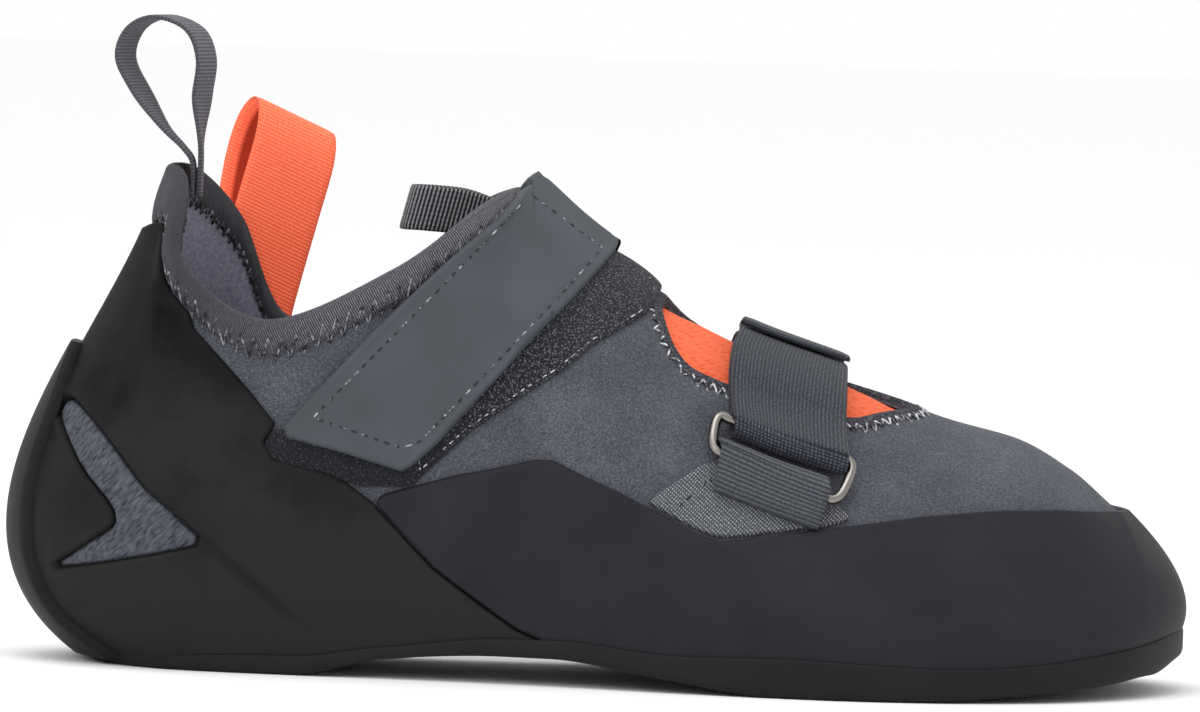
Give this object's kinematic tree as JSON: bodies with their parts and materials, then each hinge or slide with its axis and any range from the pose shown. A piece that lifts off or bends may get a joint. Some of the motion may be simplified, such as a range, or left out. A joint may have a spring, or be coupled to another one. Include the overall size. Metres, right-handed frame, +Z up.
{
  "type": "climbing shoe",
  "caption": "Right climbing shoe with a hollow upper, rubber sole and rand, and straps over the instep and forefoot.",
  "frame": {"origin": "middle of the heel's flat spot, on the floor", "axes": "+Z up, +X from the heel to the toe, +Y towards the big toe's side"},
  "size_m": [0.2602, 0.0961, 0.1415],
  "materials": {
    "sole_rubber": "matt moulded rubber",
    "microfibre": "napped microfibre",
    "knit": "ribbed padded knit",
    "mesh": "open mesh",
    "lining": "brushed lining",
    "rand_rubber": "smooth sheet rubber",
    "heel_rubber": "smooth sheet rubber",
    "insert": "grained synthetic",
    "loop_pile": "looped pile",
    "strap": "smooth coated synthetic",
    "webbing": "flat woven webbing",
    "ring_metal": "plated wire",
    "grey_tape": "ribbed tape",
    "orange_tape": "ribbed tape",
    "black_tape": "ribbed webbing"
  },
  "bodies": {
    "root": {"outsole": "sole_rubber", "upper": "microfibre", "collar_band": "knit", "tongue": "mesh", "insole": "lining", "rand": "rand_rubber", "heel_rubber": "heel_rubber", "heel_insert_lateral": "insert", "heel_insert_medial": "insert", "loop_patch": "loop_pile", "closure_strap": "strap", "forefoot_strap": "webbing", "strap_ring": "ring_metal", "ring_anchor": "webbing", "heel_pull_loop": "grey_tape", "side_pull_loop": "orange_tape", "tongue_pull_loop": "black_tape"}
  },
  "joints": []
}
